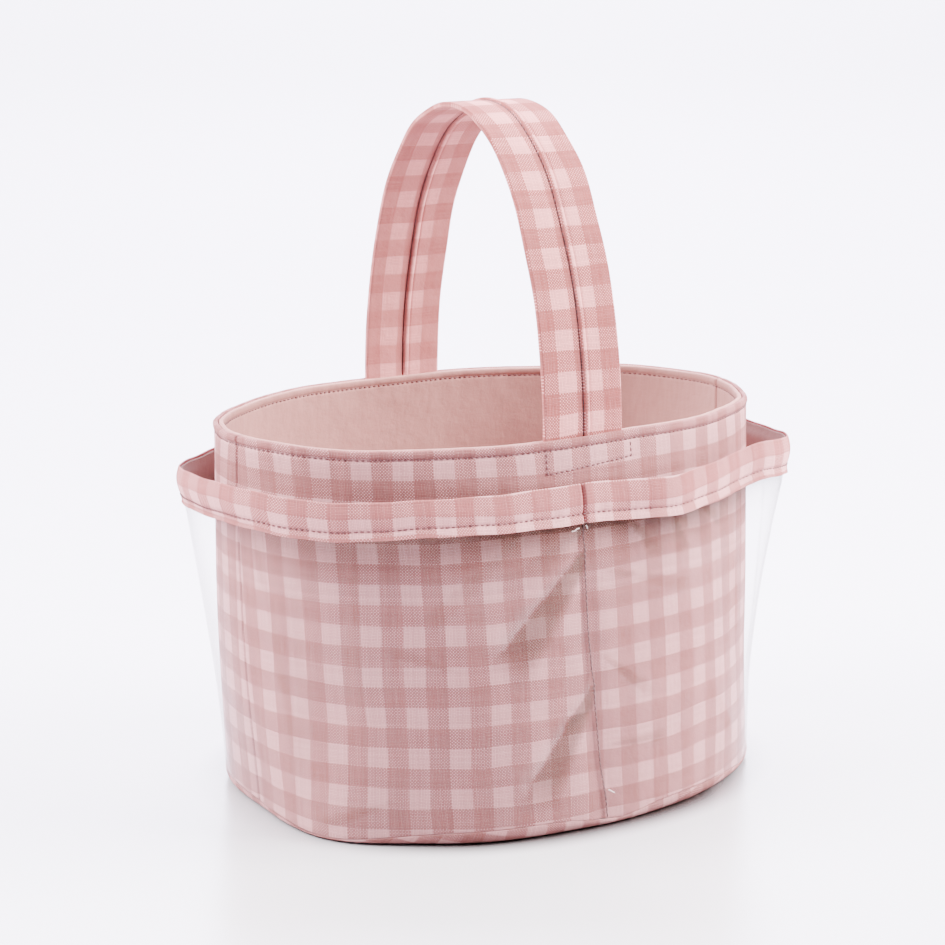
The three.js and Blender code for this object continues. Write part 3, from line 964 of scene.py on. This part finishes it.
def folds(side, across, z):
    """How far the sheet's sharp folds stand out, and the painted shade and highlight beside each crest."""
    height = np.zeros(np.broadcast(across, z).shape)
    light = np.zeros_like(height)
    for start, end, width, rise, shine in VINYL_FOLDS[side]:
        line = np.array(end, float) - np.array(start, float)
        length = np.linalg.norm(line)
        ahead = line / length
        far = (across - start[0]) * ahead[0] + (z - start[1]) * ahead[1]
        aside = (z - start[1]) * ahead[0] - (across - start[0]) * ahead[1]
        side_share = aside / (width * (FOLD_START + np.clip(far / length, 0, 1)))
        off_crest = np.abs(side_share)
        fade = ramp(far, -width / 3, width / 3) * ramp(1.2 - far / length, 0, 0.4)
        height = np.maximum(height, rise * np.clip(1 - off_crest, 0, 1) * fade)
        # Painted shade on one side of each crest and a painted highlight on the other
        dark_side = np.clip(3 * (1 - off_crest), 0, 1) * (side_share * shine < 0)
        bright_side = np.clip(1 - 2 * off_crest, 0, 1) * (side_share * shine > 0)
        light += abs(shine) * fade * (BRIGHT_SHARE * bright_side - dark_side)
    return height, light


# The clear sheet's standing folds: height, how many go round, where they start, their turn for each
# millimetre up, and how sharp they are
VINYL_WAVES = ((1.3, 8, 0.6, 1 / 50, 0.93), (0.7, 19, 0, -1 / 28, 0.9))
VINYL_PLEATS = ((0.25, 47, 0, 0),)
PLEAT_RUN = 6

VINYL_STEP = 1.7
VINYL_INSIDE_BAND = 11
VINYL_BEHIND_BAND = 2

# The band's painted shadow on the sheet below it: how deep at its edge, and how far down it reaches
BAND_SHADE = 3.2
BAND_SHADE_RUN = 7.5


def vinyl_waves(angle, z):
    """Soft standing folds in the clear sheet, strongest half way down, and pleats at its foot."""
    hang = np.sin(math.pi * np.clip((z - WALL_BOTTOM) / (BAND_BOTTOM - WALL_BOTTOM), 0, 1))
    total = waves(angle, VINYL_PLEATS) * bell(z, WALL_BOTTOM + PLEAT_RUN, PLEAT_RUN)
    for height, count, start, turn, sharpness in VINYL_WAVES:
        wave = np.arcsin(sharpness * np.sin(count * angle + start + turn * z)) / math.pi
        total = total + height * wave * hang
    return total


def vinyl_reach(side, angles, z):
    """How far the clear sheet's outer face stands off the wall, and its painted light and shade, with the
    band's painted shadow below the band.
    """
    mouth = band_reach(angles) - VINYL_BEHIND_BAND
    share = np.clip((z - WALL_BOTTOM) / (BAND_BOTTOM - WALL_BOTTOM), 0, 1) ** POCKET_HANG
    reach = mixed(VINYL_REACH, mouth, share)
    below_band = ramp(BAND_BOTTOM - z, 0, 4)
    across = np.abs(apart(angles, FRONT)) * (RIM_HALF_LENGTH + RIM_HALF_WIDTH) / 2
    height, light = folds(side, across, z[None, :])
    uneven = vinyl_waves(angles, z) * ramp(reach, 1.5, 5) + height
    # The band's painted shadow, darkest at the band and gone at the tips
    shade = BAND_SHADE * np.exp((np.minimum(z, BAND_BOTTOM) - BAND_BOTTOM) / BAND_SHADE_RUN)
    return reach + uneven * below_band, light * below_band - shade * (1 - np.cos(angles) ** 6)


def vinyl_panel(name, side):
    low = np.linspace(WALL_BOTTOM, BAND_BOTTOM, 86)
    z = np.concatenate([low, np.linspace(BAND_BOTTOM, BAND_BOTTOM + VINYL_INSIDE_BAND, 4)[1:]])
    angles = pocket_angles(side, VINYL_STEP, z)
    reach, light = vinyl_reach(side, angles, z)
    height = settled(angles, z)
    outer = pocket_point(angles, reach, height)
    inner = pocket_point(angles, reach - VINYL_THICKNESS, height)
    rows = np.concatenate([outer, inner[:, ::-1]], 1)
    cloth = cloth_places(outer, SEAM_ROW[side])
    # The sheet carries its painted light and shade in the cloth place's third part
    cloth[..., 2] = light
    sheet = swept(name, rows, np.concatenate([cloth, cloth[:, ::-1]], 1), vinyl)
    return sheet


def build_pockets():
    for side in ("left", "right"):
        band = band_panel(f"band_{side}", band_profile(), side, band_checks)
        facing = band_panel(f"band_facing_{side}", facing_profile(), side, facing_cloth_painted_shade)
        sheet = vinyl_panel(f"vinyl_{side}", side)
        finish_piece(band, "gingham", "root", f"pocket_band_{side}")
        finish_piece(facing, "lining", "root", f"pocket_facing_{side}")
        finish_piece(sheet, "clear_vinyl", "root", f"pocket_sheet_{side}")


BAND_STITCH_DEPTH = 0.48
DIVIDER_STITCH_STANDS = 0.15


def build_band_stitches():
    angles = np.linspace(0, 2 * math.pi, ROUND_POINTS)
    path = pocket_point(angles, band_reach(angles) - BAND_STITCH_DEPTH, np.full_like(angles, BAND_STITCH))
    row = stitches("band_stitches", path, outward(angles), pink_thread)
    finish_piece(row, "gingham", "root")


def build_divider_stitches():
    z = np.linspace(BAND_BOTTOM - 1, WALL_BOTTOM + 0.5, 160)
    for side, around in (("front", FRONT + seam_lean(z)), ("back", np.full_like(z, BACK))):
        reach = np.diagonal(vinyl_reach("left", around[:, None], z)[0])
        path = pocket_point(around, reach + DIVIDER_STITCH_STANDS, settled(around, z))
        row = stitches(f"divider_stitches_{side}", path, outward(around), dark_thread, **DIVIDER_STITCH)
        finish_piece(row, "gingham", "root")


# Loose thread ends on the front: the place across, the height, and steps across, out and up from there
THREAD_ENDS = {
    "base": (3.6, 18, ((-1, 0, 1), (0, 0.9, 0.4), (1.3, 1.0, -0.5), (2.0, 0.5, -0.8))),
    "left": (-8, 149, ((0, 0, 0), (-1.5, 0.7, 0.2), (-3, 0.8, -0.8), (-4.5, 0.5, -0.9))),
    "right": (-4.2, 150, ((0, 0, 0), (0.4, 0.5, -0.6), (0.6, 0.5, -1.6))),
}
THREAD_END_STARTS = 2.6
THREAD_END_RADIUS = THREAD_RADIUS * 0.95


def build_thread_ends():
    for name, (x, z, bends) in THREAD_ENDS.items():
        angle = np.array([FRONT + angle_off_middle(x)])
        out = outward(angle)[0]
        start = pocket_point(angle, np.array([THREAD_END_STARTS]), np.array([float(z)]))[0]
        knots = np.array([start + out * off + [across, 0, up] for across, off, up in bends])
        place = np.linspace(0, len(knots) - 1, 12)
        path = np.stack([np.interp(place, np.arange(len(knots)), knots[:, k]) for k in range(3)], -1)
        ahead = unit(np.gradient(path, axis=0))
        aside = unit(np.cross(ahead, out))
        above = np.cross(aside, ahead)
        turn = (np.arange(8) * math.pi / 4)[:, None]
        around = aside[:, None] * np.cos(turn) + above[:, None] * np.sin(turn)
        rows = path[:, None] + THREAD_END_RADIUS * around
        cloth = np.zeros_like(rows)
        cloth[..., 0] = place[:, None]
        finish_piece(swept(f"thread_end_{name}", rows, cloth, white_thread), "gingham", "root")


# Base

BASE_RUN = 6
BASE_EDGE_HEIGHT = 8.5
BASE_CLOTH = 1
BASE_POINTS = 400
FLOOR_POINTS = 300
FLOOR_EDGE_GAP = 0.2
FLOOR_EDGE_DROP = 0.25
# The floor's waves, which turn from its middle out to its edge
FLOOR_WAVES = ((0.35, 3, 0, 4), (0.25, 6, 0, 9))


def level(ring, z):
    """A ring of points laid flat at a height."""
    return np.concatenate([ring[:, :2], np.full((len(ring), 1), z)], 1)


def build_base():
    """The base cloth, a dish turned up all round: its underside, its edge, then its inside back in."""
    angles = np.linspace(0, 2 * math.pi, BASE_POINTS, endpoint=False)
    shares = np.linspace(0.05, 1, 16)
    out = outward(angles)
    flat_edge = oval(angles, BASE_RUN - VINYL_REACH, 0)
    rings = [level(flat_edge * share, 0) for share in shares]
    places = [ring.copy() for ring in rings]
    travelled = 0
    for turn in np.linspace(0, math.pi / 2, 10)[1:]:
        z = BASE_EDGE_HEIGHT * (1 - math.cos(turn))
        ring = oval(angles, BASE_RUN * (1 - math.sin(turn)) - VINYL_REACH, z)
        travelled += float(np.linalg.norm(ring - rings[-1], axis=-1).mean())
        rings.append(ring)
        places.append(level(flat_edge, 0) + out * travelled)
    for turn in np.linspace(math.pi / 2, 0, 6):
        z = BASE_CLOTH + (BASE_EDGE_HEIGHT - BASE_CLOTH) * (1 - math.cos(turn))
        inset = BASE_RUN * (1 - math.sin(turn)) + BASE_CLOTH
        rings.append(oval(angles, inset, min(z, BASE_EDGE_HEIGHT - 0.1)))
        places.append(level(flat_edge, 0))
    for share in shares[::-1][1:]:
        ring = oval(angles, BASE_RUN + BASE_CLOTH, 0) * share
        rings.append(level(ring, BASE_CLOTH))
        places.append(level(ring, 0))
    rings = np.array(rings)
    from_middle = np.linalg.norm(rings[..., :2], axis=-1) / RIM_HALF_WIDTH
    spread = np.minimum(foot_spread(angles, rings[..., 2]) * from_middle, foot_spread(angles, 0))
    rings[..., :2] += out[:, :2] * spread[..., None]
    rings[..., 2] *= (BASE_EDGE_HEIGHT - foot_drop(angles)) / BASE_EDGE_HEIGHT
    dish = swept("base_cloth", rings, np.array(places), base_checks)
    finish_piece(dish, "gingham", "root", "base_panel")


def build_floor_lining():
    angles = np.linspace(0, 2 * math.pi, FLOOR_POINTS, endpoint=False)
    shares = np.linspace(0.04, 1, 30)
    edge = oval(angles, LINING_INSET + FLOOR_EDGE_GAP, FLOOR_TOP)
    rings = [level(edge * share, BOARD_TOP + GAP) for share in shares]
    for share in shares[::-1]:
        inner, outer = (waves(angles, [row], share) for row in FLOOR_WAVES)
        soft = inner * (1 - share) + outer * share
        ring = edge * share
        ring[:, 2] = FLOOR_TOP + soft * (1 - share ** 8) * 0.5 - FLOOR_EDGE_DROP * share ** 30
        rings.append(ring)
    rings = np.array(rings)
    floor = swept("lining_floor", rings, rings * [1, 1, 0], pink_lining)
    finish_piece(floor, "lining", "root", "base_lining")


# Strap handle

# The strap's line has this many points for each tail and for the arch over the basket, and its waves
# from end to end are those of its sway, its wander to the sides and its breadth
TAIL_POINTS = 8
ARCH_POINTS = 260
STRAP_SWAYS = ((0.004, 7, 0.6, 0),)
STRAP_WANDERS = ((0.5, 7, 1, 0), (0.3, 15, 0, 0))
STRAP_BREADTHS = ((0.012, 19, 2, 0),)
# The rib along the strap is pressed flat below the rim
RIB_START = BASKET_HEIGHT - 0.5
RIB_FULL = BASKET_HEIGHT + 4


def strap_line():
    """The strap's middle line from its front end to its back end, as [y, z] points."""
    z_tail = np.linspace(TAIL_BOTTOM, BASKET_HEIGHT, TAIL_POINTS + 1)[:-1]
    wall_y = oval(FRONT, TAIL_INSET, z_tail)[:, 1]
    front = np.stack([wall_y, z_tail], -1)
    turn = np.linspace(math.pi, 0, ARCH_POINTS)
    sway = 1 + waves(turn, STRAP_SWAYS) * np.sin(turn)
    half_span = RIM_HALF_WIDTH - TAIL_INSET
    arch_z = BASKET_HEIGHT + HANDLE_RISE * np.sin(turn) * sway
    arch = np.stack([half_span * np.cos(turn) * sway, arch_z], -1)
    back = front[::-1] * [-1, 1]
    return np.concatenate([front, arch, back])


def strap_frame():
    line = strap_line()
    ahead = unit(np.gradient(line, axis=0))
    return line, np.stack([-ahead[:, 1], ahead[:, 0]], -1)


def strap_points(across, out_by):
    """Rows of points along the strap, from a section of across and out values."""
    line, out = strap_frame()
    half = STRAP_THICKNESS / 2
    flat = np.clip(out_by, -half, half)
    lifted = flat + (out_by - flat) * ramp(line[:, 1:], RIB_START, RIB_FULL)
    y = line[:, :1] + out[:, :1] * lifted
    z = line[:, 1:] + out[:, 1:] * lifted
    turn = np.linspace(0, math.pi, len(line))[:, None]
    wander = waves(turn, STRAP_WANDERS) * np.sin(turn)
    breadth = 1 + waves(turn, STRAP_BREADTHS) * np.sin(turn)
    return np.stack([across * breadth + wander, y, z], -1)


EDGE_RADIUS = 1.1
RIDGE_HEIGHT = 1.35
JOIN_GAP = 0.5
LAP_GAP = 0.05


def mirrored(points):
    return [(x, -t) for x, t in reversed(points)]


def strap_edge(way):
    """The strap's rounded edge, from its upper face to the side."""
    middle = STRAP_THICKNESS / 2 - EDGE_RADIUS
    turn = np.linspace(0, math.pi / 2, 6)[1:]
    across = STRAP_HALF - EDGE_RADIUS + EDGE_RADIUS * np.sin(turn)
    return [*zip(way * across, middle + EDGE_RADIUS * np.cos(turn))]


def left_section():
    """The left half, as places across the strap and off its middle, with its edge under the lap."""
    half = STRAP_THICKNESS / 2
    seam = [(-JOIN_GAP, 0.2), (-JOIN_GAP, half - 0.35), (-JOIN_GAP - 0.25, half - 0.05)]
    flat = [(x, half) for x in np.linspace(-1.2, -STRAP_HALF + EDGE_RADIUS, 26)]
    top = seam + flat + strap_edge(-1)
    return np.array(top + mirrored(top))


def right_section():
    """The right half, whose edge laps over the left one as a ridge."""
    half = STRAP_THICKNESS / 2
    seam = [(LAP_GAP, 0.2), (LAP_GAP, half - 0.4)]
    turn = np.linspace(math.pi, 0, 9)
    rise = RIDGE_HEIGHT * np.maximum(0, np.sin(turn)) ** 0.6
    ridge = [*zip(LAP / 2 + LAP_GAP + LAP / 2 * np.cos(turn), half - 0.1 + rise)]
    dip = [(LAP + 0.3, half - 0.3), (LAP + 0.8, half - 0.12), (LAP + 1.5, half)]
    flat = [(x, half) for x in np.linspace(LAP + 2, STRAP_HALF - EDGE_RADIUS, 24)]
    top = seam + ridge + dip + flat + strap_edge(1)
    return np.array(top + mirrored(top))


def strap_half(name, section, edge_x, edge_u):
    """One half of the strap. Its checks are placed by where one of their edges lies across it."""
    across, out_by = section[:, 0], section[:, 1]
    rows = strap_points(across, out_by)
    line = strap_line()
    distance = along(line, 0)
    front_part = line[: len(line) // 2, 1]
    rim = int(np.argmin(np.abs(front_part - BASKET_HEIGHT)))
    u = np.sign(edge_x) * (np.abs(across) - abs(edge_x)) + edge_u
    v = distance - distance[rim]
    # The underside is marked for painted light, which makes its dyed yarns paler
    underside = out_by < 0
    cloth = np.stack(np.broadcast_arrays(u[None, :], v[:, None], underside[None, :]), -1)
    half_strap = swept(name, rows, cloth, strap_checks)
    return half_strap


def bends_with_handle(piece):
    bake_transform(piece)


# Where a check's edge lies across each half of the strap, and on its cloth
LEFT_CHECKS = (-14, -14)
RIGHT_CHECKS = (11, 16)
# Each row of stitches along the strap: its place across, how deep it lies, its thread and its kind
STRAP_SEWING = {
    "strap_stitches": (LAP + 0.3, 0.25, pale_thread, LAP_STITCH),
    # The join's row is dark thread sewn almost end to end in the gap between the halves: partly stitching
    # in the ditch, partly painted shade for the gap's shadow
    "strap_join": (-0.22, 0.3, dark_thread, JOIN_STITCH),
}


def build_strap():
    left = strap_half("strap_left", left_section(), *LEFT_CHECKS)
    right = strap_half("strap_right", right_section(), *RIGHT_CHECKS)
    bends_with_handle(left)
    bends_with_handle(right)
    tails = ("handle_tail_front", "handle_tail_back")
    finish_piece(left, "gingham", None, "handle_cover_left", *tails, "handle_core")
    finish_piece(right, "gingham", None, "handle_cover_right", "handle_bend_front", "handle_bend_back")
    line, out = strap_frame()
    seen = slice(TAIL_POINTS, len(line) - TAIL_POINTS)
    for face, way in (("outer", 1), ("inner", -1)):
        off = np.concatenate([np.zeros((len(out), 1)), out * way], 1)[seen]
        for name, (x, depth, material, kind) in STRAP_SEWING.items():
            out_by = way * (STRAP_THICKNESS / 2 - depth)
            path = strap_points(np.array([x]), np.array([out_by]))[seen, 0]
            sewing = stitches(f"{name}_{face}", path, off, material, **kind)
            bends_with_handle(sewing)


def build_box_stitches():
    across = (BOX_LEFT, BOX_LEFT, BOX_RIGHT, BOX_RIGHT)
    heights = (HEM_BOTTOM, BOX_LEFT_BOTTOM, BOX_RIGHT_BOTTOM, HEM_BOTTOM)
    corners = np.stack([across, heights], -1)
    share = np.linspace(0, 1, 30)[:-1, None]
    path = np.concatenate([mixed(start, end, share) for start, end in zip(corners, corners[1:])])
    for side, middle in (("front", FRONT), ("back", BACK)):
        around = middle + angle_off_middle(path[:, 0])
        points = wall(around, 0, path[:, 1])
        row = stitches(f"box_stitches_{side}", points, outward(around), pink_thread, **BOX_STITCH)
        finish_piece(row, "gingham", "root")


# Setting

VIEW_AZIMUTH = -30.2
VIEW_ELEVATION = 13.03
VIEW_DISTANCE = 1.3277
VIEW_TARGET = Vector((-0.00627, 0.00365, 0.1558))
SENSOR = 36
LENS = 98.42

# The sweep: a floor that turns up behind the caddy, in metres
SWEEP_FRONT = 3
SWEEP_DEPTH = 2.2
SWEEP_HEIGHT = 2.6
SWEEP_RADIUS = 0.9
SWEEP_HALF_WIDTH = 4
SWEEP_DROP = 0.0002

# Each light's azimuth, elevation, distance, size, power and colour, round the caddy's middle
LIGHT_TARGET = Vector((0, 0, 0.15))
LIGHTS = {
    "right": (60, 36, 1.7, 1.0, 255, (1, 0.985, 0.975)),
    "left": (-106, 38, 1.7, 1.1, 210, (0.985, 0.985, 1)),
    "top": (-30, 70, 1.7, 0.9, 8, (1, 1, 1)),
    "front": (10, 45, 1.8, 0.9, 4, (1, 1, 1)),
}
# A wide light high behind the caddy whitens the sweep
BACKDROP_SIZE = (3, 0.6)
BACKDROP_POWER = 700
BACKDROP_COLOUR = (0.82, 0.81, 1)
BACKDROP_PLACE = (0.9, 1.9)
BACKDROP_TARGET = (2.2, 0.5)
SKY_COLOUR = (0.93, 0.925, 0.97, 1)
SKY_STRENGTH = 0.2


def towards(azimuth, elevation):
    a, e = math.radians(azimuth), math.radians(elevation)
    return Vector((math.sin(a) * math.cos(e), -math.cos(a) * math.cos(e), math.sin(e)))


def behind(distance, height):
    """A place behind the caddy, as the camera sees it."""
    return towards(VIEW_AZIMUTH, 0) * -distance + Vector((0, 0, height))


def build_stage():
    profile = [(-SWEEP_FRONT, 0)]
    for turn in np.linspace(0, math.pi / 2, 16):
        depth = SWEEP_DEPTH - SWEEP_RADIUS * (1 - math.sin(turn))
        profile.append((depth, SWEEP_RADIUS * (1 - math.cos(turn))))
    profile.append((SWEEP_DEPTH, SWEEP_HEIGHT))
    back = behind(1, 0)
    side = Vector((-back.y, back.x, 0)) * SWEEP_HALF_WIDTH
    points = [behind(depth, z - SWEEP_DROP) + side * way for depth, z in profile for way in (-1, 1)]
    faces = [(k, k + 1, k + 3, k + 2) for k in range(0, len(points) - 2, 2)]
    mesh = bpy.data.meshes.new("studio_sweep")
    mesh.from_pydata(points, [], faces)
    mesh.polygons.foreach_set("use_smooth", [True] * len(faces))
    mesh.materials.append(studio_floor("studio_floor"))
    sweep = bpy.data.objects.new("studio_sweep", mesh)
    bpy.context.scene.collection.objects.link(sweep)


def aimed(name, data, place, target):
    """A camera or a light at a place, facing its target."""
    thing = bpy.data.objects.new(name, data)
    bpy.context.scene.collection.objects.link(thing)
    thing.location = place
    thing.rotation_euler = (target - place).to_track_quat("-Z", "Y").to_euler()
    return thing


def build_camera():
    place = VIEW_TARGET + towards(VIEW_AZIMUTH, VIEW_ELEVATION) * VIEW_DISTANCE
    camera = aimed("camera", bpy.data.cameras.new("camera"), place, VIEW_TARGET)
    camera.data.sensor_width = SENSOR
    camera.data.lens = LENS
    bpy.context.scene.camera = camera


def add_light(name, place, target, size, power, colour):
    data = bpy.data.lights.new(name, "AREA")
    data.shape = "RECTANGLE"
    data.size, data.size_y = size
    data.energy = power
    data.color = colour
    aimed(name, data, place, target)


def build_lights():
    world = bpy.data.worlds.new("studio")
    bpy.context.scene.world = world
    world.use_nodes = True
    background = world.node_tree.nodes["Background"]
    background.inputs["Color"].default_value = SKY_COLOUR
    background.inputs["Strength"].default_value = SKY_STRENGTH
    for name, (azimuth, elevation, distance, size, power, colour) in LIGHTS.items():
        place = LIGHT_TARGET + towards(azimuth, elevation) * distance
        add_light(name, place, LIGHT_TARGET, (size, size), power, colour)
    place, target = behind(*BACKDROP_PLACE), behind(*BACKDROP_TARGET)
    add_light("backdrop", place, target, BACKDROP_SIZE, BACKDROP_POWER, BACKDROP_COLOUR)


build_camera()
build_stage()
build_lights()
build_walls()
build_rim_stitches()
build_pockets()
build_band_stitches()
build_divider_stitches()
build_thread_ends()
build_base()
build_floor_lining()
build_strap()
build_box_stitches()
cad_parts["base_board"].data.materials[0] = board
